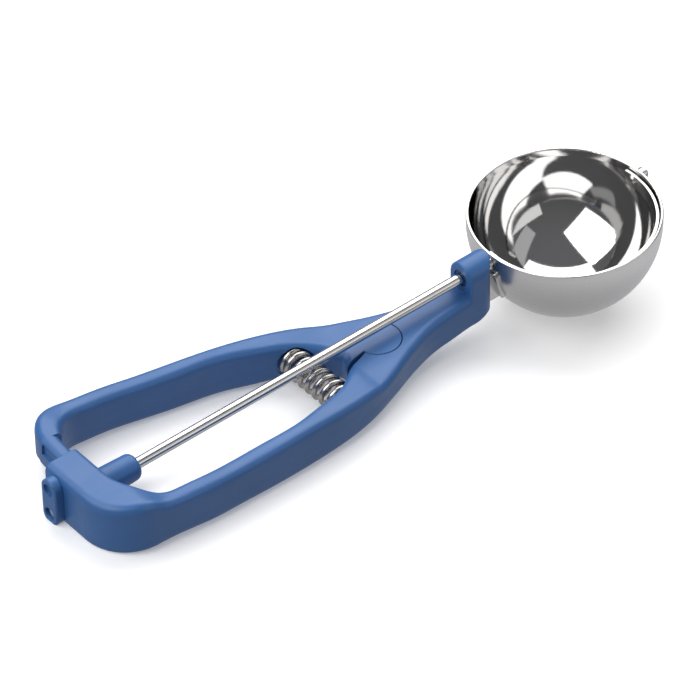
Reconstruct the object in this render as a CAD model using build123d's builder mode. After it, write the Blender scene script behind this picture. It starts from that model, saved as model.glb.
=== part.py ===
from build123d import *
import math
import os

os.makedirs("parts", exist_ok=True)

# A lever ice cream scoop, in millimetres.
#
# It is built in the frame of its own shaft: X along the shaft towards the bowl, Y to the
# left, Z up, with the origin at the centre of the bowl's sphere, on the shaft's axis.
# At the very end each piece is tilted and lifted to lie as it does on a table.
# The "fixed half" is the moulded handle half that carries the bowl. The "lever" is the
# half that swings. Seen from above they are near mirror images either side of the shaft.

# the point under the rear end on which the scoop rests when it lies on a table
rest_x = -190.0
rest_z = -4.26

# ---------------------------------------------------------------- bowl and blade
bowl_radius = 30.3
bowl_wall = 1.0
rim_height = 2.8
rim_rounding = 0.35
blade_gap = 0.35
blade_thickness = 0.9
blade_top_edge = 1.5
blade_end_width = 3.7
blade_middle_width = 9.6
blade_sweep_deg = 168.0
blade_tab_reach = 3.4
near_lug_reach = 2.0

# ---------------------------------------------------------------- shaft and its bearings
shaft_radius = 1.75
running_clearance = 0.05
tenon_radius = 0.9
tenon_head_radius = 1.5
tenon_head = 0.6
journal_radius = 1.4
journal_setback = 0.8
bowl_hole_clearance = 0.15
bush_wall = 1.0
front_bush_length = 8.5
rear_bush_length = 12.0
bush_setback = 0.4
washer_radius = 3.4
washer_thickness = 0.5
axial_play = 0.1

# ---------------------------------------------------------------- tip pin, opposite the shaft
tip_pin_radius = 0.9
tip_collar_length = 2.0
tip_head_radius = 1.5
tip_head = 1.1
tip_head_edge = 0.3
tip_collar_radius = 2.1
tip_inner_head_radius = 1.5
tip_inner_head = 0.9

# ---------------------------------------------------------------- handle outline
arm_width = 6.6
arm_rounding = 2.6
neck_overlap = 3.9
neck_half_width = 5.1
# half-widths of the outside, from the front of the neck back along the arms
outer_points = [(-50.0, 5.9), (-56.0, 6.4), (-61.0, 7.5), (-66.0, 9.1), (-70.5, 10.8), (-75.0, 12.8),
                (-79.5, 14.8), (-84.5, 16.9), (-89.0, 18.6), (-93.5, 19.9), (-100.0, 21.3), (-110.0, 22.9),
                (-120.0, 24.2), (-135.0, 25.8), (-150.0, 27.2)]
# half-widths of the inside, from behind the spring back along the arms
inner_points = [(-110.0, 14.9), (-120.0, 17.6), (-135.0, 19.2), (-150.0, 20.6)]
handle_half_width = 28.4
arm_straight_x = -162.0
arm_splay = 0.35
crotch_x = -88.0
crotch_half_gap = 0.8
outer_corner_radius = 15.5
inner_corner_radius = 13.0
# heights of the arms' upper and lower surfaces, from the rear forwards
arm_top_points = [(-177.0, 10.7), (-165.0, 8.2), (-150.0, 5.8), (-135.0, 3.9), (-118.0, 1.8), (-104.0, -0.6),
                  (-90.0, -3.6)]
arm_bottom_points = [(-56.0, -18.0), (-66.0, -17.6), (-75.0, -16.8), (-84.0, -15.7), (-100.0, -15.0),
                     (-118.0, -13.4), (-135.0, -11.2), (-150.0, -8.9), (-165.0, -6.6)]
neck_top = -5.1
neck_bottom = -16.8
neck_level_x = -80.0
fixed_rear_top = 14.0
lever_rear_top = 12.9
rear_bottom = -4.5
rear_level_x = -186.0

# ---------------------------------------------------------------- front block
block_length = 10.2
block_gap = 1.4
block_radius = 5.15
block_bottom = -17.8
block_toe_radius = 8.0
block_edge = 0.8
bracket_pin_setback = 1.0
bracket_pin_z = -11.8
bracket_pin_radius = 1.6
bracket_pin_skin = 1.1

# ---------------------------------------------------------------- bowl bracket
bracket_thickness = 2.4
bracket_top = -3.4
bracket_bottom = -15.0
bracket_tail = 4.1
bracket_tail_chamfer = 2.0
tang_drop = 2.5
tang_step = 1.5
bracket_fit = 0.05
saddle_wall = 1.0
saddle_half_width = 3.6

# ---------------------------------------------------------------- lever hinge
hinge_x = -74.5
hub_radius = 7.1
hub_thickness = 5.3
hub_clearance = 0.3
hinge_pin_radius = 2.5
hinge_pin_head_radius = 4.2
hinge_pin_head = 1.3
hinge_pin_grip = 3.6
hinge_washer_radius = 6.0
hinge_washer = 0.4
floor_radius = 9.0
shoulder_deg = 30.0
shoulder_gap_deg = 2.0
root_deg = 193.0
root_gap_deg = 2.0

# ---------------------------------------------------------------- gears
gear_module = 0.5
pinion_teeth = 12
rack_full_circle_teeth = 454
pressure_deg = 20.0
pinion_root_radius = 2.45
rack_addendum = 0.33
tooth_backlash = 0.1
tip_clearance = 0.2
pinion_width = 4.4
rack_teeth = 10
rack_width = 4.4
rack_back = 2.4
rack_pin_radius = 0.8
rack_pin_length = 5.0
rack_pin_spread_deg = 2.6

# ---------------------------------------------------------------- rear housing
housing_rear_x = -196.0
housing_front_x = -183.8
housing_left_y = 5.0
bar_width = 6.0
bar_underside = 3.9
bar_clearance = 0.25
bar_end_y = -3.4
foot_end_y = 14.4
# the lever's underside curves up to its bar
lever_heel = [(-176.0, -5.1), (-182.0, -3.2), (-187.0, 0.6), (-190.6, 5.6)]
lever_heel_rise = 2.0
bar_recess = 0.8
bar_recess_bottom = 8.0
bar_recess_top = 11.7
sleeve_front_x = -167.1
sleeve_radius = 5.1
sleeve_tip_radius = 4.2
sleeve_rounding = 2.2
pinion_pocket_clearance = 0.15

# ---------------------------------------------------------------- rear plate and its peg
plate_rear_x = -199.0
plate_width = 6.8
plate_top = 12.9
plate_bottom = -4.1
plate_rounding = 0.6
plate_hole_radius = 2.1
plate_hole_depth = 1.4
peg_z = 9.3
peg_radius = 1.4
peg_length = 5.0
peg_recess = 0.9

# ---------------------------------------------------------------- spring
spring_x = -98.0
spring_wall_y = 10.8
spring_z = -8.5
wire_radius = 0.9
spring_radius = 4.1
spring_turns = 9
seat_radius = 5.4
seat_depth = 2.2
seat_stud_radius = 2.6
seat_play = 0.1
seat_stud_length = 2.4


# ---------------------------------------------------------------- what follows from these
rest_reach = math.hypot(rest_x, rest_z)
lean_deg = math.degrees(math.asin(bowl_radius / rest_reach) - math.atan(rest_z / rest_x))
lean_sin = math.sin(math.radians(lean_deg))
lean_cos = math.cos(math.radians(lean_deg))
bowl_inside = bowl_radius - bowl_wall
blade_outside = bowl_inside - blade_gap
blade_inside = blade_outside - blade_thickness
tip_pin_reach = bowl_radius + tip_collar_length + tip_head
block_front_x = -(bowl_radius + block_gap)
block_rear_x = block_front_x - block_length
neck_front_x = block_rear_x + neck_overlap
bracket_pin_x = block_rear_x + bracket_pin_setback
bracket_tail_x = block_rear_x - bracket_tail
shaft_hole = shaft_radius + running_clearance
bush_radius = shaft_hole + bush_wall
pitch_radius = gear_module * pinion_teeth / 2
pinion_outside = pitch_radius + gear_module
gear_ratio = rack_full_circle_teeth / pinion_teeth
lever_travel_deg = blade_sweep_deg / gear_ratio
rack_pitch_radius = gear_module * rack_full_circle_teeth / 2
bar_inside = rack_pitch_radius - bar_width / 2
bar_outside = rack_pitch_radius + bar_width / 2
pinion_x = hinge_x - rack_pitch_radius
rack_tip_z = pitch_radius - rack_addendum
rack_root_z = pinion_outside + tip_clearance
rack_top_z = rack_root_z + rack_back
hub_underside = neck_top - hub_thickness
pocket_floor = hub_underside - hinge_washer
slot_bottom = rack_tip_z - bar_clearance
slot_end_y = bar_end_y - rack_pitch_radius * math.radians(lever_travel_deg) - 1.0
inner_half_width = handle_half_width - arm_width
root_radius = hinge_x - crotch_x
pinion_front_x = pinion_x + pinion_width / 2
pinion_rear_x = pinion_x - pinion_width / 2
rear_bush_x = sleeve_front_x - bush_setback - rear_bush_length
front_bush_x = block_rear_x + bush_setback + front_bush_length
thrust_x = pinion_rear_x - axial_play - washer_thickness
plate_half_width = plate_width / 2
peg_front_x = plate_rear_x + peg_recess + peg_length
shoulder_x = -(blade_outside - 0.02)
rack_middle_deg = 180 - (rack_teeth - 3.5) / 2 * 360 / rack_full_circle_teeth
spring_half_length = spring_wall_y + seat_depth
spring_gap_half = spring_wall_y / 2
rear_edge_x = plate_rear_x + plate_rounding
rear_reach = rear_edge_x * lean_cos - (plate_top - plate_rounding) * lean_sin - plate_rounding
front_reach = tip_pin_reach * lean_cos + (tip_head_radius - tip_head_edge) * lean_sin
LYING = Location((-(rear_reach + front_reach) / 2, 0, bowl_radius), (0, -lean_deg, 0))
TABLE = Plane((-bowl_radius * lean_sin, 0, -bowl_radius * lean_cos), x_dir=(lean_cos, 0, -lean_sin),
              z_dir=(lean_sin, 0, lean_cos))

FAR = 260.0
SIDE = Plane.XZ


def section(x):
    """The plane across the shaft at x: its own x runs along Y and its own y along Z."""
    return Plane((x, 0, 0), x_dir=(0, 1, 0), z_dir=(1, 0, 0))


def behind_hinge(radius, y):
    """The x of a point y on an arc about the hinge, behind it."""
    return hinge_x - math.sqrt(radius**2 - y**2)


def arm_outside(side):
    """The outer edge of one arm in plan, for use inside a BuildLine."""
    start = (neck_front_x, side * neck_half_width)
    end = (arm_straight_x, side * (handle_half_width - arm_splay))
    along = [(x, side * y) for x, y in outer_points]
    Spline(start, *along, end, tangents=[(-1, 0), (-1, side * 0.02)])
    return end


def arm_inside(side):
    """The inner edge of one arm in plan, ending at the crotch."""
    start = (arm_straight_x, side * (inner_half_width - arm_splay))
    end = (crotch_x, side * crotch_half_gap)
    along = [(x, side * y) for x, y in reversed([(spring_x, spring_wall_y), *inner_points])]
    Spline(start, *along, end, tangents=[(1, -side * 0.02), (0.4, -side)])
    return end


def half_plan(side, rear_x, front_x):
    """Plan of one handle half out to the given rear and front faces of its cross-piece."""
    with BuildSketch() as plan:
        with BuildLine():
            Line((neck_front_x, 0), (neck_front_x, side * neck_half_width))
            outer_end = arm_outside(side)
            Polyline(
                outer_end,
                (rear_x, side * handle_half_width),
                (rear_x, 0),
                (front_x, 0),
                (front_x, side * inner_half_width),
                (arm_straight_x, side * (inner_half_width - arm_splay)),
            )
            crotch = arm_inside(side)
            Polyline(crotch, (crotch_x, 0), (neck_front_x, 0))
        make_face()
        rear_corner = plan.vertices().group_by(Axis.X)[0].sort_by(Axis.Y)
        fillet(rear_corner[-1] if side > 0 else rear_corner[0], outer_corner_radius)
        front_corner = plan.vertices().filter_by(lambda v: abs(v.X - front_x) < 0.01).sort_by(Axis.Y)
        fillet(front_corner[-1] if side > 0 else front_corner[0], inner_corner_radius)
    return plan.sketch_local


def side_view(rear_top, underside_end, heel_rise):
    """Side view of a handle half, whose underside arrives at its heel with the given rise."""
    rear = (rear_level_x, rear_top)
    toe = (neck_front_x, block_bottom)
    heel = underside_end[-1]
    with BuildSketch() as view:
        with BuildLine():
            Line((-FAR, rear_top), rear)
            Spline(rear, *arm_top_points, (neck_level_x, neck_top), tangents=[(1, 0), (1, 0)])
            Polyline((neck_level_x, neck_top), (neck_front_x, neck_top), toe)
            Spline(toe, *arm_bottom_points, *underside_end, tangents=[(-1, 0.05), (-1, heel_rise)])
            Polyline(heel, (-FAR, heel[1]), (-FAR, rear_top))
        make_face()
    return view.sketch_local


def about_hinge(radius, deg):
    """The plan point at a radius and an angle about the hinge."""
    return (hinge_x + radius * math.cos(math.radians(deg)), radius * math.sin(math.radians(deg)))


def sector(radius, from_deg, to_deg):
    """A pie slice about the hinge, in plan."""
    with BuildSketch() as pie:
        with BuildLine():
            CenterArc((hinge_x, 0), radius, from_deg, to_deg - from_deg)
            Polyline(about_hinge(radius, to_deg), (hinge_x, 0), about_hinge(radius, from_deg))
        make_face()
    return pie.sketch_local


def ring(outer, inner, from_deg, to_deg):
    """Part of a flat ring about the hinge, in plan."""
    with BuildSketch() as part_ring:
        add(sector(outer, from_deg, to_deg))
        with Locations((hinge_x, 0)):
            Circle(inner, mode=Mode.SUBTRACT)
    return part_ring.sketch_local


def rear_deg(y, radius):
    """The angle about the hinge of the point y on an arc behind it."""
    return 180.0 - math.degrees(math.asin(y / radius))


def is_upright(edge):
    return edge.geom_type == GeomType.LINE and abs(edge.tangent_at(0.5).Z) > 0.9


def on_middle_plane(edge):
    return all(abs((edge @ t).Y) < 0.02 for t in (0, 0.5, 1))


def is_underside(face):
    """True of the front block's flat bottom and the rounded toe in front of it."""
    return face.normal_at().Z < -0.5


def runs_along_side(edge):
    return abs((edge @ 0).Y - (edge @ 1).Y) < 0.01


def moulded_half(side, rear_x, front_x, rear_top, underside_end, heel_rise):
    """One half of the handle as a plain rounded moulding, cut off at the middle plane."""
    with BuildPart() as half:
        with BuildSketch(Plane.XY.offset(-FAR)):
            add(half_plan(side, rear_x, front_x))
        extrude(amount=2 * FAR)
        with BuildSketch(SIDE):
            add(side_view(rear_top, underside_end, heel_rise))
        extrude(amount=FAR, both=True, mode=Mode.INTERSECT)
        rims = half.edges().filter_by(lambda e: not is_upright(e) and not on_middle_plane(e))
        fillet(rims, arm_rounding)
    return half.part


def upright(sketch, bottom, top):
    """A plan sketch made into a solid between two heights."""
    with BuildPart() as solid:
        with BuildSketch(Plane.XY.offset(bottom)):
            add(sketch)
        extrude(amount=top - bottom)
    return solid.part


def turned(profile_points):
    """A solid of revolution about the shaft's axis from (x, radius) points."""
    with BuildPart() as solid:
        with BuildSketch(SIDE):
            with BuildLine():
                Polyline(*profile_points, close=True)
            make_face()
        revolve(axis=Axis.X)
    return solid.part


def curved_bar(fit, from_deg, to_deg, bottom):
    """The lever's curved rear bar, round-topped, widened all round by a fit."""
    with BuildPart() as bar:
        add(upright(ring(bar_outside + fit, bar_inside - fit, from_deg, to_deg), bottom, lever_rear_top + fit))
        fillet(bar.faces().sort_by(Axis.Z)[-1].edges().filter_by(GeomType.CIRCLE), arm_rounding + fit)
    return bar.part


def spring_seat(side, depth_from, depth_to, radius):
    """A round bar along the spring's axis, between two distances from the middle."""
    mouth = Plane((spring_x, side * depth_from, spring_z), x_dir=(1, 0, 0), z_dir=(0, side, 0))
    with BuildPart() as bar:
        with BuildSketch(mouth):
            Circle(radius)
        extrude(amount=depth_to - depth_from)
    return bar.part


# ================================================================ pieces of the fixed half
def make_front_block():
    """The block that holds the shaft's front bush and the bowl's bracket."""
    nose_x = block_front_x - block_radius
    with BuildPart() as block:
        with BuildSketch(SIDE) as toe:
            with Locations(((block_rear_x + block_front_x) / 2, (block_radius + block_bottom) / 2)):
                Rectangle(block_front_x - block_rear_x, block_radius - block_bottom)
            fillet(toe.vertices().group_by(Axis.Y)[0].sort_by(Axis.X)[-1], block_toe_radius)
        extrude(amount=block_radius, both=True)
        fillet(block.faces().filter_by(is_underside).edges().filter_by(runs_along_side), arm_rounding)
        with BuildSketch(section(block_rear_x)):
            Circle(block_radius)
            with Locations((0, block_bottom / 2)):
                Rectangle(2 * block_radius, -block_bottom)
        extrude(amount=block_front_x - block_rear_x, mode=Mode.INTERSECT)
        with BuildSketch(Plane.XY.offset(-FAR)):
            with Locations((nose_x, 0)):
                Circle(block_radius)
            with Locations(((nose_x + block_rear_x) / 2, 0)):
                Rectangle(nose_x - block_rear_x, 2 * block_radius)
        extrude(amount=2 * FAR, mode=Mode.INTERSECT)
        rear_arch = block.faces().sort_by(Axis.X)[0].edges().filter_by(GeomType.CIRCLE)
        fillet(rear_arch.sort_by(Axis.Z)[-1], block_edge)
    return block.part


def make_fixed_half():
    """The moulded half with the neck, the front block, one arm and the rear housing."""
    clear_from = shoulder_deg - shoulder_gap_deg
    clear_to = root_deg + lever_travel_deg + root_gap_deg
    housing_mid_x = (housing_rear_x + housing_front_x) / 2
    housing_length = housing_front_x - housing_rear_x
    underside_end = [(rear_level_x, rear_bottom)]
    with BuildPart() as half:
        add(moulded_half(1, housing_rear_x, housing_front_x, fixed_rear_top, underside_end, 0))
        add(upright(sector(FAR, -60, clear_from), -FAR, FAR), mode=Mode.INTERSECT)
        add(moulded_half(-1, housing_rear_x, housing_front_x, fixed_rear_top, underside_end, 0))
        add(upright(sector(2 * root_radius, clear_from, clear_to), -FAR, FAR), mode=Mode.SUBTRACT)
        # the floor under the lever's hub
        with BuildSketch(Plane.XY.offset(neck_bottom)):
            with Locations((hinge_x, 0)):
                Circle(floor_radius)
        extrude(amount=pocket_floor - neck_bottom)
        # the housing's left end, over the lever's bar
        with BuildSketch(SIDE):
            with Locations((housing_mid_x, (fixed_rear_top + rear_bottom) / 2)):
                RectangleRounded(housing_length, fixed_rear_top - rear_bottom, arm_rounding)
        extrude(amount=-housing_left_y)
        add(make_front_block())
        # the sleeve round the shaft in front of the housing
        with BuildSketch(SIDE) as sleeve:
            with BuildLine():
                Polyline(
                    (housing_mid_x, 0),
                    (housing_mid_x, sleeve_radius),
                    (sleeve_front_x, sleeve_tip_radius),
                    (sleeve_front_x, 0),
                    close=True,
                )
            make_face()
            fillet(sleeve.vertices().group_by(Axis.X)[-1].sort_by(Axis.Y)[-1], sleeve_rounding)
        revolve(axis=Axis.X)
        # the pocket for the lever's hub
        with BuildSketch(Plane.XY.offset(pocket_floor)):
            with Locations((hinge_x, 0)):
                Circle(hub_radius + hub_clearance)
        extrude(amount=FAR, mode=Mode.SUBTRACT)
        # the hinge pin's hole and the recess for its head
        with BuildSketch(Plane.XY.offset(neck_bottom - 1)):
            with Locations((hinge_x, 0)):
                Circle(hinge_pin_radius + running_clearance)
        extrude(amount=FAR, mode=Mode.SUBTRACT)
        with BuildSketch(Plane.XY.offset(neck_bottom + hinge_pin_head)):
            with Locations((hinge_x, 0)):
                Circle(hinge_pin_head_radius + hub_clearance)
        extrude(amount=-FAR, mode=Mode.SUBTRACT)
        # the curved slot in which the lever's toothed bar slides
        slot_from = rear_deg(foot_end_y, bar_outside)
        slot_to = rear_deg(slot_end_y, rack_pitch_radius)
        add(curved_bar(bar_clearance, slot_from, slot_to, slot_bottom), mode=Mode.SUBTRACT)
        # the pinion's pocket under the slot, and the shaft's bores
        add(bore(thrust_x, pinion_front_x + axial_play, pinion_outside + pinion_pocket_clearance),
            mode=Mode.SUBTRACT)
        add(bore(housing_rear_x - 1, pinion_x, shaft_hole), mode=Mode.SUBTRACT)
        add(bore(pinion_x, block_front_x, shaft_hole), mode=Mode.SUBTRACT)
        add(bore(rear_bush_x, sleeve_front_x + 1, bush_radius), mode=Mode.SUBTRACT)
        add(bore(block_rear_x - 1, front_bush_x, bush_radius), mode=Mode.SUBTRACT)
        # the spring's seat
        add(spring_seat(-1, spring_gap_half, spring_half_length, seat_radius), mode=Mode.SUBTRACT)
        add(spring_seat(-1, spring_half_length - seat_stud_length, spring_half_length + 1, seat_stud_radius))
        # the bracket's slot and its cross pin's hole
        with BuildSketch(SIDE):
            add(bracket_side(bracket_fit))
        extrude(amount=bracket_thickness / 2 + bracket_fit, both=True, mode=Mode.SUBTRACT)
        add(pin_bar(FAR), mode=Mode.SUBTRACT)
        # the flat on which the rear end rests
        with BuildSketch(TABLE):
            Rectangle(2 * FAR, 2 * FAR)
        extrude(amount=-FAR, mode=Mode.SUBTRACT)
        # the hole for the rear plate's peg
        add(bore(peg_front_x, housing_rear_x - 1, peg_radius, peg_z), mode=Mode.SUBTRACT)
    return half.part


def bore(x_from, x_to, radius, z=0.0):
    """A round bar along X between two places, at a height."""
    with BuildPart() as bar:
        with BuildSketch(section(x_from)):
            with Locations((0, z)):
                Circle(radius)
        extrude(amount=x_to - x_from)
    return bar.part


def pin_bar(left_y):
    """The bracket pin's round bar, from its blind end in the block's right side to a place on the left."""
    blind_y = bracket_pin_skin - block_radius
    with BuildPart() as bar:
        with BuildSketch(Plane.XZ.offset(-left_y)):
            with Locations((bracket_pin_x, bracket_pin_z)):
                Circle(bracket_pin_radius)
        extrude(amount=left_y - blind_y)
    return bar.part


def bracket_side(fit):
    """Side view of the bracket's flat tang, widened all round by a fit."""
    tang_bottom = bracket_bottom - fit
    tang_top = bracket_top + fit
    tang_tail = bracket_tail_x - fit
    with BuildSketch() as tang:
        with BuildLine():
            Polyline(
                (tang_tail, tang_bottom + bracket_tail_chamfer),
                (tang_tail, neck_top - tang_drop),
                (block_rear_x + tang_step, neck_top - tang_drop),
                (block_rear_x + tang_step, tang_top),
                (-bowl_inside * 0.9, tang_top),
                (-bowl_inside * 0.9, tang_bottom),
                (block_rear_x, tang_bottom),
                close=True,
            )
        make_face()
    return tang.sketch_local


# ================================================================ small pieces of the fixed half
def make_bush(x_from, length):
    with BuildPart() as bush:
        with BuildSketch(section(x_from)):
            Circle(bush_radius)
            Circle(shaft_hole, mode=Mode.SUBTRACT)
        extrude(amount=length)
    return bush.part


def make_rear_plate():
    """The plate that closes the housing behind the pinion and carries the shaft's rear end."""
    with BuildPart() as plate:
        with BuildSketch(section(plate_rear_x)):
            with BuildLine():
                CenterArc((0, plate_bottom + plate_half_width), plate_half_width, 180, 180)
                CenterArc((0, plate_top - plate_half_width), plate_half_width, 0, 180)
                for y in (-plate_half_width, plate_half_width):
                    Line((y, plate_bottom + plate_half_width), (y, plate_top - plate_half_width))
            make_face()
        extrude(amount=housing_rear_x - plate_rear_x)
        fillet(plate.faces().sort_by(Axis.X)[0].edges(), plate_rounding)
        add(bore(plate_rear_x, plate_rear_x + plate_hole_depth, plate_hole_radius), mode=Mode.SUBTRACT)
        add(bore(plate_rear_x, housing_rear_x, journal_radius + running_clearance), mode=Mode.SUBTRACT)
        add(bore(plate_rear_x, plate_rear_x + peg_recess, plate_hole_radius, peg_z), mode=Mode.SUBTRACT)
        add(bore(plate_rear_x, housing_rear_x, peg_radius, peg_z), mode=Mode.SUBTRACT)
    return plate.part


def make_peg():
    """The peg that holds the rear plate on."""
    head_x = plate_rear_x + peg_recess
    with BuildPart() as peg:
        add(bore(head_x, peg_front_x, peg_radius, peg_z))
        chamfer(peg.faces().sort_by(Axis.X)[-1].edges(), peg_radius / 3)
    return peg.part


def make_bowl():
    """The spun bowl: a half sphere with a short upright collar and a rounded rim."""
    with BuildPart() as bowl:
        with BuildSketch(SIDE) as wall:
            with BuildLine():
                CenterArc((0, 0), bowl_radius, -90, 90)
                Line((bowl_radius, 0), (bowl_radius, rim_height))
                Line((bowl_radius, rim_height), (bowl_inside, rim_height))
                Line((bowl_inside, rim_height), (bowl_inside, 0))
                CenterArc((0, 0), bowl_inside, 0, -90)
                Line((0, -bowl_inside), (0, -bowl_radius))
            make_face()
            fillet(wall.vertices().group_by(Axis.Y)[-1], rim_rounding)
        revolve(axis=Axis.Z)
        add(bore(-bowl_radius - 1, 0, shaft_radius + bowl_hole_clearance), mode=Mode.SUBTRACT)
        add(bore(0, bowl_radius + 1, tip_pin_radius), mode=Mode.SUBTRACT)
    return bowl.part


def make_bracket():
    """The steel bracket: a tang held in the block and a saddle welded under the bowl's side."""
    with BuildPart() as bracket:
        with BuildSketch(SIDE):
            add(bracket_side(0))
        extrude(amount=bracket_thickness / 2, both=True)
        with BuildPart(mode=Mode.PRIVATE) as saddle:
            Sphere(bowl_radius + saddle_wall)
            with BuildSketch(section(-FAR)):
                with Locations((0, (bracket_top + bracket_bottom) / 2)):
                    RectangleRounded(2 * saddle_half_width, bracket_top - bracket_bottom, 2)
            extrude(amount=FAR, mode=Mode.INTERSECT)
        add(saddle.part)
        Sphere(bowl_radius, mode=Mode.SUBTRACT)
        add(pin_bar(bracket_thickness), mode=Mode.SUBTRACT)
    return bracket.part


def make_tip_pin():
    """The rivet through the bowl's wall on which the blade's far end turns."""
    inner_face = blade_inside - axial_play
    return turned([
        (inner_face - tip_inner_head, 0),
        (inner_face - tip_inner_head, tip_inner_head_radius - 0.4),
        (inner_face - tip_inner_head + 0.4, tip_inner_head_radius),
        (inner_face, tip_inner_head_radius),
        (inner_face, tip_pin_radius),
        (tip_pin_reach - tip_head, tip_pin_radius),
        (tip_pin_reach - tip_head, tip_head_radius),
        (tip_pin_reach - tip_head_edge, tip_head_radius),
        (tip_pin_reach, tip_head_radius - tip_head_edge),
        (tip_pin_reach, 0),
    ])


def make_tip_collar():
    """The spacing ring under the tip pin's outer head."""
    with BuildPart() as collar:
        with BuildSketch(section(bowl_radius)):
            Circle(tip_collar_radius)
            Circle(tip_pin_radius, mode=Mode.SUBTRACT)
        extrude(amount=tip_collar_length)
    return collar.part


def make_spring():
    """The coil spring between the arms, its end turns lying flat in their seats."""
    half_length = spring_half_length - seat_play - wire_radius
    pitch = 2 * half_length / spring_turns
    start = (spring_x, -half_length, spring_z)
    with BuildPart() as spring:
        with BuildLine():
            coil = Helix(pitch, 2 * half_length, spring_radius, center=start, direction=(0, 1, 0))
        with BuildSketch(Plane(coil @ 0, z_dir=coil % 0)):
            Circle(wire_radius)
        sweep(path=coil, is_frenet=True)
    return spring.part


def make_hinge_washer():
    with BuildPart() as washer:
        with BuildSketch(Plane.XY.offset(pocket_floor)):
            with Locations((hinge_x, 0)):
                Circle(hinge_washer_radius)
                Circle(hinge_pin_radius + running_clearance, mode=Mode.SUBTRACT)
        extrude(amount=hinge_washer)
    return washer.part


# ================================================================ pieces that ride on the lever
def make_lever():
    """The moulded half that swings: an arm, the hub on the hinge pin and the toothed bar's carrier."""
    rear_x = behind_hinge(bar_outside, foot_end_y)
    front_x = behind_hinge(bar_inside, foot_end_y)
    with BuildPart() as lever:
        # the root reaches a little past the middle
        add(moulded_half(-1, rear_x, front_x, lever_rear_top, lever_heel, lever_heel_rise))
        add(upright(sector(2 * root_radius, 170, root_deg), -FAR, FAR), mode=Mode.INTERSECT)
        add(moulded_half(1, rear_x, front_x, lever_rear_top, lever_heel, lever_heel_rise))
        add(upright(sector(FAR, -60, shoulder_deg), -FAR, FAR), mode=Mode.SUBTRACT)
        # the rear cross-piece gives way to the curved bar
        with BuildSketch(Plane.XY.offset(-FAR)):
            with Locations(((rear_x + front_x) / 2, 0)):
                Rectangle(bar_width * 2, 2 * foot_end_y)
        extrude(amount=2 * FAR, mode=Mode.SUBTRACT)
        bar_from = rear_deg(foot_end_y + 1, rack_pitch_radius)
        bar_to = rear_deg(bar_end_y, rack_pitch_radius)
        add(curved_bar(0, bar_from, bar_to, bar_underside))
        # the root stops short of the fixed half's floor and carries the hub over it
        with BuildSketch(Plane.XY.offset(neck_bottom - 1)):
            with Locations((hinge_x, 0)):
                Circle(floor_radius + hub_clearance)
        extrude(amount=hub_underside - neck_bottom + 1, mode=Mode.SUBTRACT)
        with BuildSketch(Plane.XY.offset(hub_underside)):
            with Locations((hinge_x, 0)):
                Circle(hub_radius)
        extrude(amount=hub_thickness)
        # the bar's rear face is eased
        easing = ring(bar_outside + 1, bar_outside - bar_recess, rear_deg(foot_end_y, bar_outside),
                      rear_deg(bar_end_y - 1, bar_outside))
        add(upright(easing, bar_recess_bottom, bar_recess_top), mode=Mode.SUBTRACT)
        with BuildSketch(Plane.XY.offset(hub_underside)):
            with Locations((hinge_x, 0)):
                Circle(hinge_pin_radius)
        extrude(amount=hinge_pin_grip, mode=Mode.SUBTRACT)
        # the groove and holes for the rack, and the spring's seat
        add(upright(rack_strip_plan(), bar_underside - 1, rack_top_z), mode=Mode.SUBTRACT)
        add(upright(rack_pins_plan(), rack_root_z, rack_root_z + rack_pin_length), mode=Mode.SUBTRACT)
        add(spring_seat(1, spring_gap_half, spring_half_length, seat_radius), mode=Mode.SUBTRACT)
        add(spring_seat(1, spring_half_length - seat_stud_length, spring_half_length + 1, seat_stud_radius))
    return lever.part


def rack_strip_plan():
    tooth_deg = 360 / rack_full_circle_teeth
    half_width = rack_width / 2
    return ring(rack_pitch_radius + half_width, rack_pitch_radius - half_width,
                180 - (rack_teeth - 1.5) * tooth_deg, 180 + 2 * tooth_deg)


def rack_pins_plan():
    with BuildSketch() as pins:
        for deg in (rack_middle_deg - rack_pin_spread_deg, rack_middle_deg + rack_pin_spread_deg):
            with Locations(about_hinge(rack_pitch_radius, deg)):
                Circle(rack_pin_radius)
    return pins.sketch_local


def make_rack():
    """The toothed strip: straight teeth pointing at the hinge, under a curved back."""
    tooth_deg = 360 / rack_full_circle_teeth
    slope = math.tan(math.radians(pressure_deg))
    half_tooth = (math.pi * gear_module - tooth_backlash) / 4
    tip = half_tooth - slope * rack_addendum
    root = half_tooth + slope * (rack_root_z - pitch_radius)
    with BuildPart() as rack:
        add(upright(rack_strip_plan(), rack_root_z, rack_top_z))
        add(upright(rack_pins_plan(), rack_root_z, rack_top_z), mode=Mode.SUBTRACT)
        for tooth in range(rack_teeth):
            deg = 180 + (1.5 - tooth) * tooth_deg
            start_x, start_y = about_hinge(rack_pitch_radius - rack_width / 2, deg)
            ahead = math.radians(deg)
            radial = Plane((start_x, start_y, 0), x_dir=(-math.sin(ahead), math.cos(ahead), 0),
                           z_dir=(math.cos(ahead), math.sin(ahead), 0))
            with BuildSketch(radial):
                with BuildLine():
                    Polyline(
                        (-tip, rack_tip_z),
                        (tip, rack_tip_z),
                        (root, rack_root_z),
                        (-root, rack_root_z),
                        close=True,
                    )
                make_face()
            extrude(amount=rack_width)
    return rack.part


def make_hinge_pin():
    """The headed pin pressed up into the lever's hub."""
    with BuildPart() as pin:
        with BuildSketch(Plane.XY.offset(neck_bottom + axial_play)):
            with Locations((hinge_x, 0)):
                Circle(hinge_pin_head_radius)
        extrude(amount=hinge_pin_head - 2 * axial_play)
        with BuildSketch(Plane.XY.offset(neck_bottom + axial_play)):
            with Locations((hinge_x, 0)):
                Circle(hinge_pin_radius)
        extrude(amount=hub_underside + hinge_pin_grip - neck_bottom - axial_play)
    return pin.part


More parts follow.
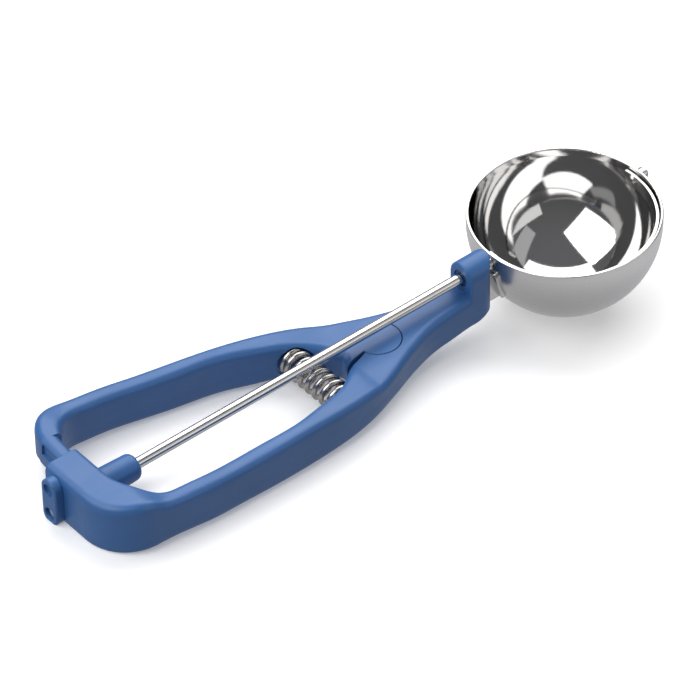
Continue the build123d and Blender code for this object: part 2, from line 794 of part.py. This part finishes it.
# ================================================================ pieces that turn with the shaft
def make_shaft():
    """The long round shaft, stepped down at the rear plate and riveted over in the blade."""
    head_x = -(blade_inside - 0.07)
    return turned([
        (plate_rear_x + journal_setback, 0),
        (plate_rear_x + journal_setback, journal_radius),
        (housing_rear_x + axial_play, journal_radius),
        (housing_rear_x + axial_play, shaft_radius),
        (shoulder_x, shaft_radius),
        (shoulder_x, tenon_radius),
        (head_x, tenon_radius),
        (head_x, tenon_head_radius),
        (head_x + tenon_head, tenon_head_radius - 0.3),
        (head_x + tenon_head, 0),
    ])


def involute_half_angle(radius):
    """Half a pinion tooth's angle at a radius outside its base circle."""
    base_radius = pitch_radius * math.cos(math.radians(pressure_deg))
    here = math.acos(base_radius / radius)
    at_pitch = math.radians(pressure_deg)
    half_tooth = (math.pi * gear_module - tooth_backlash) / 4 / pitch_radius
    return half_tooth + (math.tan(at_pitch) - at_pitch) - (math.tan(here) - here)


def make_pinion():
    """The twelve-tooth pinion pressed on the shaft."""
    base_radius = pitch_radius * math.cos(math.radians(pressure_deg))
    inner_radius = pinion_root_radius - 0.1
    steps = 4
    flank = [(inner_radius, involute_half_angle(base_radius))]
    for step in range(steps + 1):
        radius = base_radius + (pinion_outside - base_radius) * step / steps
        flank.append((radius, involute_half_angle(radius)))
    left = [(-r * math.sin(a), r * math.cos(a)) for r, a in flank]
    right = [(-x, y) for x, y in reversed(left)]
    with BuildPart() as pinion:
        with BuildSketch(section(pinion_rear_x)):
            Circle(pinion_root_radius)
            with BuildSketch(mode=Mode.PRIVATE) as tooth:
                with BuildLine():
                    Polyline(*left, *right, close=True)
                make_face()
            with PolarLocations(0, pinion_teeth):
                add(tooth.sketch_local)
            Circle(shaft_radius, mode=Mode.SUBTRACT)
        extrude(amount=pinion_width)
    return pinion.part


def make_thrust_washer():
    with BuildPart() as washer:
        with BuildSketch(section(thrust_x)):
            Circle(washer_radius)
            Circle(shaft_hole, mode=Mode.SUBTRACT)
        extrude(amount=washer_thickness)
    return washer.part


def make_blade():
    """The scraper: a curved band inside the bowl with a lug at each end."""
    blade_bottom_edge = blade_top_edge - blade_middle_width
    lug_bottom = blade_top_edge - blade_end_width
    with BuildPart() as blade:
        Sphere(blade_outside)
        Sphere(blade_inside, mode=Mode.SUBTRACT)
        with BuildSketch(Plane.XZ.offset(-blade_tab_reach)):
            with BuildLine():
                Line((-bowl_radius, lug_bottom), (-bowl_radius, blade_top_edge))
                Line((-bowl_radius, blade_top_edge), (bowl_radius, blade_top_edge))
                Line((bowl_radius, blade_top_edge), (bowl_radius, lug_bottom))
                ThreePointArc((bowl_radius, lug_bottom), (0, blade_bottom_edge), (-bowl_radius, lug_bottom))
            make_face()
        extrude(amount=FAR, mode=Mode.INTERSECT)
        # the near lug is rounded just past the shaft
        with BuildSketch(Plane.XY.offset(-FAR)):
            with Locations((-bowl_radius, blade_tab_reach)):
                Rectangle(bowl_radius, 2 * (blade_tab_reach - near_lug_reach))
        extrude(amount=2 * FAR, mode=Mode.SUBTRACT)
        add(bore(-bowl_radius, 0, tenon_radius), mode=Mode.SUBTRACT)
        add(bore(0, bowl_radius, tip_pin_radius + running_clearance), mode=Mode.SUBTRACT)
    return blade.part


# ================================================================ hand-in
def hand_in(piece, label):
    """Lay a finished piece in its place on the table and write it out."""
    placed = piece.moved(LYING)
    placed.label = label
    export_step(placed, f"parts/{label}.step")


def make_bracket_pin():
    return pin_bar(block_radius)


def make_rack_pins():
    return upright(rack_pins_plan(), rack_root_z, rack_root_z + rack_pin_length)


PIECES = {
    "handle_body": make_fixed_half,
    "rear_bush": lambda: make_bush(rear_bush_x, rear_bush_length),
    "front_bush": lambda: make_bush(block_rear_x + bush_setback, front_bush_length),
    "rear_plate": make_rear_plate,
    "plate_peg": make_peg,
    "bowl": make_bowl,
    "bowl_bracket": make_bracket,
    "bracket_pin": make_bracket_pin,
    "tip_pin": make_tip_pin,
    "tip_collar": make_tip_collar,
    "hinge_washer": make_hinge_washer,
    "spring": make_spring,
    "lever": make_lever,
    "hinge_pin": make_hinge_pin,
    "rack": make_rack,
    "rack_pins": make_rack_pins,
    "shaft": make_shaft,
    "pinion": make_pinion,
    "thrust_washer": make_thrust_washer,
    "scraper_blade": make_blade,
}
for label, make in PIECES.items():
    hand_in(make(), label)
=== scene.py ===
import math

import bpy
from mathutils import Matrix, Vector


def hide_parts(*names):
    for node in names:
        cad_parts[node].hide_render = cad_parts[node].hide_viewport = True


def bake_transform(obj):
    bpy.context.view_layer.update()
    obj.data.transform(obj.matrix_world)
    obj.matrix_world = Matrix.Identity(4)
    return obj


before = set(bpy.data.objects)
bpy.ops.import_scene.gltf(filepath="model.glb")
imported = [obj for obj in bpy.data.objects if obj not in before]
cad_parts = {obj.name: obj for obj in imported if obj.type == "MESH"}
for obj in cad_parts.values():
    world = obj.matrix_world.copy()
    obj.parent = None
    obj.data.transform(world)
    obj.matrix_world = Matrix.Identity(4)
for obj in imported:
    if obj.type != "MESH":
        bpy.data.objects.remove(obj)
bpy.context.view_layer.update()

# ---------------------------------------------------------------- the tool's own frame
# Sizes below are in millimetres in the shaft's frame: X along the shaft to the bowl,
# origin at the centre of the bowl's sphere. The tool lies on the table with this lean.
LEAN = math.radians(7.8896)
BOWL_CENTRE = Vector((0.0827809, 0.0, 0.0303))
TOOL = Matrix.Translation(BOWL_CENTRE) @ Matrix.Rotation(-LEAN, 4, "Y")
MM = 0.001


def place(x, y, z):
    """A point of the tool, given in millimetres, in the row's frame in metres."""
    return TOOL @ (Vector((x, y, z)) * MM)


# ---------------------------------------------------------------- node helpers
class Nodes:
    """Short calls for building a node tree."""

    def __init__(self, material):
        self.tree = material.node_tree
        self.tree.nodes.clear()
        self.output = self.tree.nodes.new("ShaderNodeOutputMaterial")
        self.shader = self.tree.nodes.new("ShaderNodeBsdfPrincipled")
        self.link(self.shader.outputs["BSDF"], self.output.inputs["Surface"])
        self.coord = self.tree.nodes.new("ShaderNodeTexCoord")

    def link(self, a, b):
        self.tree.links.new(a, b)

    def feed(self, value, socket):
        if isinstance(value, bpy.types.NodeSocket):
            self.link(value, socket)
        else:
            socket.default_value = value

    def tool_coords(self):
        """Object coordinates turned into the tool's own frame, in millimetres."""
        mapping = self.tree.nodes.new("ShaderNodeMapping")
        mapping.vector_type = "TEXTURE"
        mapping.inputs["Location"].default_value = BOWL_CENTRE
        mapping.inputs["Rotation"].default_value = (0.0, -LEAN, 0.0)
        mapping.inputs["Scale"].default_value = (MM, MM, MM)
        self.link(self.coord.outputs["Object"], mapping.inputs["Vector"])
        return mapping.outputs["Vector"]

    def scaled(self, vector, x, y, z):
        node = self.tree.nodes.new("ShaderNodeVectorMath")
        node.operation = "MULTIPLY"
        self.link(vector, node.inputs[0])
        node.inputs[1].default_value = (x, y, z)
        return node.outputs[0]

    def length(self, vector):
        node = self.tree.nodes.new("ShaderNodeVectorMath")
        node.operation = "LENGTH"
        self.link(vector, node.inputs[0])
        return node.outputs["Value"]

    def split(self, vector):
        node = self.tree.nodes.new("ShaderNodeSeparateXYZ")
        self.link(vector, node.inputs[0])
        return node.outputs

    def join(self, x, y, z):
        node = self.tree.nodes.new("ShaderNodeCombineXYZ")
        for value, socket in zip((x, y, z), node.inputs):
            self.feed(value, socket)
        return node.outputs[0]

    def math(self, operation, a, b=0.0, c=0.0, clamp=False):
        node = self.tree.nodes.new("ShaderNodeMath")
        node.operation = operation
        node.use_clamp = clamp
        for value, socket in zip((a, b, c), node.inputs):
            self.feed(value, socket)
        return node.outputs[0]

    def noise(self, vector, scale, detail=3.0, rough=0.55):
        node = self.tree.nodes.new("ShaderNodeTexNoise")
        node.inputs["Scale"].default_value = scale
        node.inputs["Detail"].default_value = detail
        node.inputs["Roughness"].default_value = rough
        self.link(vector, node.inputs["Vector"])
        return node.outputs["Fac"]

    def spread(self, value, low, high, from_low=0.0, from_high=1.0):
        node = self.tree.nodes.new("ShaderNodeMapRange")
        limits = {"From Min": from_low, "From Max": from_high, "To Min": low, "To Max": high}
        for key, number in limits.items():
            node.inputs[key].default_value = number
        self.link(value, node.inputs["Value"])
        return node.outputs["Result"]

    def mix(self, factor, dark, light):
        node = self.tree.nodes.new("ShaderNodeMix")
        node.data_type = "RGBA"
        self.feed(factor, node.inputs[0])
        self.feed(dark, node.inputs[6])
        self.feed(light, node.inputs[7])
        return node.outputs[2]

    def bump(self, height, distance, strength=1.0, below=None):
        node = self.tree.nodes.new("ShaderNodeBump")
        node.inputs["Distance"].default_value = distance
        node.inputs["Strength"].default_value = strength
        self.link(height, node.inputs["Height"])
        if below is not None:
            self.link(below, node.inputs["Normal"])
        return node.outputs["Normal"]

    def soft_edges(self, radius):
        node = self.tree.nodes.new("ShaderNodeBevel")
        node.samples = 4
        node.inputs["Radius"].default_value = radius
        return node.outputs["Normal"]

    def curve(self, value, points):
        """A smooth curve through (input, output) points, both given in their own units."""
        xs = [x for x, _ in points]
        ys = [y for _, y in points]
        low_x, high_x, low_y, high_y = min(xs), max(xs), min(ys), max(ys)
        node = self.tree.nodes.new("ShaderNodeFloatCurve")
        line = node.mapping.curves[0]
        for x, y in points[1:-1]:
            line.points.new((x - low_x) / (high_x - low_x), (y - low_y) / (high_y - low_y))
        for point, (x, y) in zip(sorted(line.points, key=lambda p: p.location[0]), sorted(points)):
            point.location = ((x - low_x) / (high_x - low_x), (y - low_y) / (high_y - low_y))
        node.mapping.update()
        self.link(self.spread(value, 0.0, 1.0, low_x, high_x), node.inputs["Value"])
        return self.spread(node.outputs["Value"], low_y, high_y)


def material(name):
    made = bpy.data.materials.new(name)
    made.use_nodes = True
    return made, Nodes(made)


# ---------------------------------------------------------------- moulded plastic
# the mould's parting line along the handle, as (x, z) points of the tool
PARTING_LINE = [
    (-200.0, -1.6), (-186.0, -1.4), (-165.0, -1.9), (-150.0, -3.6), (-135.0, -5.4),
    (-118.0, -7.4), (-100.0, -9.3), (-80.0, -11.0), (-45.0, -12.0),
]
PARTING_HALF = 0.28             # half of the ridge's width
PARTING_ENDS = (-60.0, -48.0)   # along X the ridge is whole up to the first and gone at the second

# the round outline that the bracket's cross pin leaves on the block's near side
HIDDEN_PIN = (-40.9, -11.8)     # its middle, as (x, z)
HIDDEN_PIN_RADIUS = 2.1
HIDDEN_PIN_LINE = 0.35          # half of the outline's width
NEAR_SIDE = (-4.6, -4.0)        # along Y the outline is whole up to the first and gone at the second

# depths of bumps and roundings of edges in shading, in metres
PLASTIC_EDGE = 0.0004
STEEL_EDGE = 0.00025
GRAIN_DEPTH = 0.00004
PARTING_DEPTH = 0.00007
OUTLINE_DEPTH = 0.00006
RING_DEPTH = 0.000012
FINE, COARSE = 0.00001, 0.00002


def handle_marks(n, tool, normal):
    """The parting line round the handle and the pin's outline on the block, as bumps on a normal."""
    parts = n.split(tool)
    middle = n.curve(parts["X"], PARTING_LINE)
    off_line = n.math("ABSOLUTE", n.math("SUBTRACT", parts["Z"], middle))
    ridge = n.spread(off_line, 1.0, 0.0, 0.0, PARTING_HALF)
    behind_block = n.spread(parts["X"], 1.0, 0.0, *PARTING_ENDS)
    normal = n.bump(n.math("MULTIPLY", ridge, behind_block), PARTING_DEPTH, 0.8, normal)
    pin_x, pin_z = HIDDEN_PIN
    from_pin = n.join(n.math("SUBTRACT", parts["X"], pin_x), n.math("SUBTRACT", parts["Z"], pin_z), 0.0)
    off_outline = n.math("ABSOLUTE", n.math("SUBTRACT", n.length(from_pin), HIDDEN_PIN_RADIUS))
    outline = n.spread(off_outline, 1.0, 0.0, 0.0, HIDDEN_PIN_LINE)
    near_side = n.spread(parts["Y"], 1.0, 0.0, *NEAR_SIDE)
    return n.bump(n.math("MULTIPLY", outline, near_side), OUTLINE_DEPTH, 0.7, normal)


def moulded_plastic(name, dark, light, marked=False):
    """Satin moulded plastic: faint flow shading, a fine grain and, where marked, the handle's marks."""
    made, n = material(name)
    tool = n.tool_coords()
    clouds = n.noise(tool, 0.035, 2.0)
    n.link(n.mix(n.spread(clouds, 0.0, 1.0, 0.35, 0.65), dark, light), n.shader.inputs["Base Color"])
    grain = n.noise(tool, 4.0, 2.0)
    smears = n.noise(n.scaled(tool, 0.06, 0.3, 0.3), 1.0, 4.0)
    rough = n.math("ADD", n.spread(grain, -0.03, 0.03), n.spread(smears, 0.33, 0.43, 0.35, 0.65))
    n.link(rough, n.shader.inputs["Roughness"])
    n.shader.inputs["Specular IOR Level"].default_value = 0.5
    normal = n.bump(grain, GRAIN_DEPTH, 0.35, n.soft_edges(PLASTIC_EDGE))
    if marked:
        normal = handle_marks(n, tool, normal)
    n.link(normal, n.shader.inputs["Normal"])
    return made


# ---------------------------------------------------------------- steel
def steel(name, colour, roughness, stretch, depth):
    """Steel whose marks are drawn out along the direction with the least stretch factor."""
    made, n = material(name)
    tool = n.tool_coords()
    lines = n.noise(n.scaled(tool, *stretch), 1.0, 5.0, 0.7)
    low, high = roughness
    n.link(n.spread(lines, low, high, 0.3, 0.7), n.shader.inputs["Roughness"])
    tint = n.noise(tool, 0.08, 2.0)
    light = [c * 1.04 for c in colour[:3]] + [1.0]
    n.link(n.mix(tint, colour, light), n.shader.inputs["Base Color"])
    n.shader.inputs["Metallic"].default_value = 1.0
    n.link(n.bump(lines, depth, 0.5, n.soft_edges(STEEL_EDGE)), n.shader.inputs["Normal"])
    return made


BOWL_WALL = (29.8, 30.0)        # from the sphere's centre, mirror up to the first and satin from the second
BOWL_INSIDE = (0.62, 0.615, 0.61, 1.0)
BOWL_OUTSIDE = (0.84, 0.83, 0.82, 1.0)
RING_DENSITY = 1.6


def bowl_steel(name):
    """Spun and polished: a mirror inside, and fine turned rings on a satin outside."""
    made, n = material(name)
    tool = n.tool_coords()
    parts = n.split(tool)
    outside = n.spread(n.length(tool), 0.0, 1.0, *BOWL_WALL)
    radius = n.length(n.join(parts["X"], parts["Y"], 0.0))
    across = n.math("MULTIPLY", radius, RING_DENSITY)
    upward = n.math("MULTIPLY", parts["Z"], RING_DENSITY)
    rings = n.noise(n.join(across, upward, 0.0), 2.2, 6.0, 0.75)
    haze = n.noise(tool, 0.09, 3.0)
    mirror = n.math("ADD", n.spread(haze, 0.02, 0.06, 0.35, 0.65), n.spread(rings, 0.0, 0.03, 0.4, 0.8))
    satin = n.math("ADD", n.spread(haze, 0.22, 0.28, 0.35, 0.65), n.spread(rings, -0.04, 0.06, 0.3, 0.7))
    roughness = n.math("MULTIPLY_ADD", n.math("SUBTRACT", satin, mirror), outside, mirror)
    n.link(roughness, n.shader.inputs["Roughness"])
    n.link(n.mix(outside, BOWL_INSIDE, BOWL_OUTSIDE), n.shader.inputs["Base Color"])
    n.shader.inputs["Metallic"].default_value = 1.0
    n.link(n.bump(rings, RING_DEPTH, 0.35), n.shader.inputs["Normal"])
    return made


# ---------------------------------------------------------------- finishes
HANDLE_DARK, HANDLE_LIGHT = (0.030, 0.116, 0.318, 1.0), (0.038, 0.130, 0.350, 1.0)
BUSH_DARK, BUSH_LIGHT = (0.016, 0.060, 0.165, 1.0), (0.020, 0.070, 0.190, 1.0)
WASHER_DARK, WASHER_LIGHT = (0.60, 0.60, 0.56, 1.0), (0.68, 0.68, 0.64, 1.0)

handle_blue = moulded_plastic("handle_blue", HANDLE_DARK, HANDLE_LIGHT, marked=True)
trim_blue = moulded_plastic("trim_blue", HANDLE_DARK, HANDLE_LIGHT)
bearing_blue = moulded_plastic("bearing_blue", BUSH_DARK, BUSH_LIGHT)
bearing_white = moulded_plastic("bearing_white", WASHER_DARK, WASHER_LIGHT)
polished_bowl = bowl_steel("polished_bowl")
rod_steel = steel("rod_steel", (0.72, 0.71, 0.69, 1.0), (0.10, 0.17), (0.05, 3.0, 3.0), FINE)
blade_steel = steel("blade_steel", (0.74, 0.73, 0.72, 1.0), (0.10, 0.18), (1.5, 1.5, 0.2), FINE)
bracket_steel = steel("bracket_steel", (0.66, 0.65, 0.64, 1.0), (0.16, 0.26), (0.6, 0.6, 2.5), COARSE)
pin_steel = steel("pin_steel", (0.66, 0.65, 0.64, 1.0), (0.14, 0.24), (1.2, 1.2, 1.2), FINE)
spring_steel = steel("spring_steel", (0.50, 0.48, 0.46, 1.0), (0.16, 0.28), (1.5, 1.5, 1.5), FINE)
gear_steel = steel("gear_steel", (0.55, 0.53, 0.50, 1.0), (0.25, 0.36), (0.4, 2.0, 2.0), COARSE)

NODE_FINISH = {
    "handle_body": handle_blue,
    "lever": handle_blue,
    "rear_plate": trim_blue,
    "plate_peg": trim_blue,
    "rear_bush": bearing_blue,
    "front_bush": bearing_blue,
    "hinge_washer": bearing_white,
    "thrust_washer": bearing_white,
    "bowl": polished_bowl,
    "scraper_blade": blade_steel,
    "bowl_bracket": bracket_steel,
    "bracket_pin": pin_steel,
    "tip_pin": pin_steel,
    "tip_collar": pin_steel,
    "hinge_pin": pin_steel,
    "shaft": rod_steel,
    "pinion": gear_steel,
    "rack": gear_steel,
    "rack_pins": pin_steel,
    "spring": spring_steel,
}

for node, finish in NODE_FINISH.items():
    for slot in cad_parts[node].material_slots:
        slot.material = finish


# ---------------------------------------------------------------- the spring
# the spring's axis runs along Y, at this X and Z
SPRING_X = -98.0
SPRING_Z = -8.5
SPRING_HALF = 12.0              # half of the coil's length, to the middle of the wire
SPRING_RADIUS = 4.1             # to the middle of the wire
WIRE_RADIUS = 0.9
CLOSED_TURNS = 1.0              # at each end
OPEN_TURNS = 6.2
TURNS = OPEN_TURNS + 2 * CLOSED_TURNS
CLOSED_PITCH = 2.04 * WIRE_RADIUS   # closed turns all but touch
FIRST_ANGLE = 2.2               # where the wire starts round the axis, in radians
POINTS_PER_TURN = 40


def spring_rise(turn):
    """How far along the axis the wire has come after so many turns."""
    if turn < CLOSED_TURNS:
        return CLOSED_PITCH * turn
    if turn > TURNS - CLOSED_TURNS:
        return 2 * SPRING_HALF - CLOSED_PITCH * (TURNS - turn)
    closed_rise = CLOSED_PITCH * CLOSED_TURNS
    open_rise = 2 * SPRING_HALF - 2 * closed_rise
    return closed_rise + open_rise * (turn - CLOSED_TURNS) / OPEN_TURNS


def spring_path():
    """Points along the wire: closed end turns that lie flat in their seats, and open turns between."""
    count = int(TURNS * POINTS_PER_TURN)
    points = []
    for i in range(count + 1):
        turn = TURNS * i / count
        angle = 2 * math.pi * turn + FIRST_ANGLE
        x = SPRING_X + SPRING_RADIUS * math.cos(angle)
        z = SPRING_Z + SPRING_RADIUS * math.sin(angle)
        points.append(place(x, spring_rise(turn) - SPRING_HALF, z))
    return points


def make_spring():
    """The coil between the two arms, built as one fixed mesh along its straight axis."""
    line = bpy.data.curves.new("spring_coil", "CURVE")
    line.dimensions = "3D"
    spline = line.splines.new("POLY")
    points = spring_path()
    spline.points.add(len(points) - 1)
    for point, where in zip(spline.points, points):
        point.co = (*where, 1.0)
    spline.use_smooth = True
    line.bevel_depth = WIRE_RADIUS * MM
    line.bevel_resolution = 6
    line.use_fill_caps = True
    form = bpy.data.objects.new("spring_line", line)
    coil = bpy.data.objects.new("spring_coil", bpy.data.meshes.new_from_object(form))
    bpy.data.objects.remove(form)
    coil.data.materials.clear()
    coil.data.materials.append(spring_steel)
    coil.data.polygons.foreach_set("use_smooth", [True] * len(coil.data.polygons))
    bpy.context.scene.collection.objects.link(coil)
    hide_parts("spring")
    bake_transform(coil)


# ---------------------------------------------------------------- floor, lights, camera
# the studio is in metres, in the row's frame
FLOOR_HALF = 6.0
FLOOR_GLOW = 0.22
CAMERA_PLACE = (-0.993100, -1.031284, 1.104345)
CAMERA_RIGHT = (0.763362, -0.639771, 0.089284)
CAMERA_UP = (0.336319, 0.511629, 0.790649)
CAMERA_BACK = (-0.551514, -0.573524, 0.605725)
SENSOR = 36.0                   # in millimetres
FOCAL_WIDTHS = 6000.0 / 700.0   # the focal length, in widths of the photograph

# the world's grey by height, from straight down (0) to straight up (1)
WORLD_DOWN, WORLD_UP = (0.34, 0.34, 0.35, 1.0), (0.17, 0.17, 0.18, 1.0)
WORLD_GREYS = [(0.10, 0.42), (0.22, 0.58), (0.36, 0.44), (0.50, 0.26), (0.56, 0.11), (0.75, 0.14)]
WORLD_BLUENESS = 1.03


def make_floor():
    """A white table top. It lights nothing and shows in no reflection: there the world stands in for it."""
    mesh = bpy.data.meshes.new("floor")
    corners = [(x * FLOOR_HALF, y * FLOOR_HALF, 0) for x, y in ((-1, -1), (1, -1), (1, 1), (-1, 1))]
    mesh.from_pydata(corners, [], [(0, 1, 2, 3)])
    floor = bpy.data.objects.new("floor", mesh)
    bpy.context.scene.collection.objects.link(floor)
    finish, n = material("floor_white")
    n.shader.inputs["Base Color"].default_value = (0.92, 0.92, 0.92, 1.0)
    n.link(n.spread(n.noise(n.coord.outputs["Object"], 6.0), 0.55, 0.65), n.shader.inputs["Roughness"])
    n.shader.inputs["Specular IOR Level"].default_value = 0.2
    n.shader.inputs["Emission Color"].default_value = (1.0, 1.0, 1.0, 1.0)
    n.shader.inputs["Emission Strength"].default_value = FLOOR_GLOW
    mesh.materials.append(finish)
    floor.visible_diffuse = False
    floor.visible_glossy = False


def softbox(name, azimuth, elevation, distance, width, height, brightness):
    """A lit panel facing the bowl, upright, given by the direction it is seen in from the bowl's centre."""
    turn, rise = math.radians(azimuth), math.radians(elevation)
    level = math.cos(rise)
    away = Vector((level * math.cos(turn), level * math.sin(turn), math.sin(rise)))
    data = bpy.data.lights.new(name, "AREA")
    data.shape = "RECTANGLE"
    data.size = width
    data.size_y = height
    data.energy = brightness * math.pi * width * height
    lamp = bpy.data.objects.new(name, data)
    lamp.location = BOWL_CENTRE + away * distance
    lamp.rotation_euler = away.to_track_quat("Z", "Y").to_euler()
    bpy.context.scene.collection.objects.link(lamp)


def make_world():
    """A dim room above the table's edge, and the table top as reflections see it below."""
    world = bpy.data.worlds.new("studio")
    bpy.context.scene.world = world
    world.use_nodes = True
    tree = world.node_tree
    coord = tree.nodes.new("ShaderNodeTexCoord")
    split = tree.nodes.new("ShaderNodeSeparateXYZ")
    ramp = tree.nodes.new("ShaderNodeValToRGB")
    tree.links.new(coord.outputs["Generated"], split.inputs[0])
    height = tree.nodes.new("ShaderNodeMapRange")
    height.inputs["From Min"].default_value = -1.0
    tree.links.new(split.outputs["Z"], height.inputs["Value"])
    tree.links.new(height.outputs["Result"], ramp.inputs["Fac"])
    stops = ramp.color_ramp.elements
    stops[0].color = WORLD_DOWN
    stops[1].position = 1.0
    stops[1].color = WORLD_UP
    for where, grey in WORLD_GREYS:
        stops.new(where).color = (grey, grey, grey * WORLD_BLUENESS, 1.0)
    background = tree.nodes["Background"]
    tree.links.new(ramp.outputs["Color"], background.inputs["Color"])
    background.inputs["Strength"].default_value = 1.0


def make_camera():
    """The photograph's camera, as fitted to the bowl's rim, the shaft and the handle in the picture."""
    data = bpy.data.cameras.new("camera")
    data.sensor_width = SENSOR
    data.sensor_height = SENSOR
    data.sensor_fit = "HORIZONTAL"
    data.lens = FOCAL_WIDTHS * SENSOR
    data.clip_start = 0.05
    data.clip_end = 50.0
    camera = bpy.data.objects.new("camera", data)
    turn = Matrix((CAMERA_RIGHT, CAMERA_UP, CAMERA_BACK)).transposed().to_4x4()
    camera.matrix_world = Matrix.Translation(CAMERA_PLACE) @ turn
    bpy.context.scene.collection.objects.link(camera)
    bpy.context.scene.camera = camera


# ---------------------------------------------------------------- the scene, from its parts
make_spring()
make_floor()
make_world()
make_camera()
softbox("box_back_left", 170.0, 42.0, 1.3, 1.50, 1.10, 2.8)
softbox("box_back_right", 50.0, 54.0, 1.3, 1.80, 1.30, 2.7)
softbox("strip_near_right", -70.0, 22.0, 1.4, 1.60, 0.62, 0.85)
softbox("panel_near_right", -46.0, 47.0, 1.4, 1.25, 0.40, 0.40)

scene = bpy.context.scene
scene.view_settings.view_transform = "Standard"
scene.view_settings.look = "None"
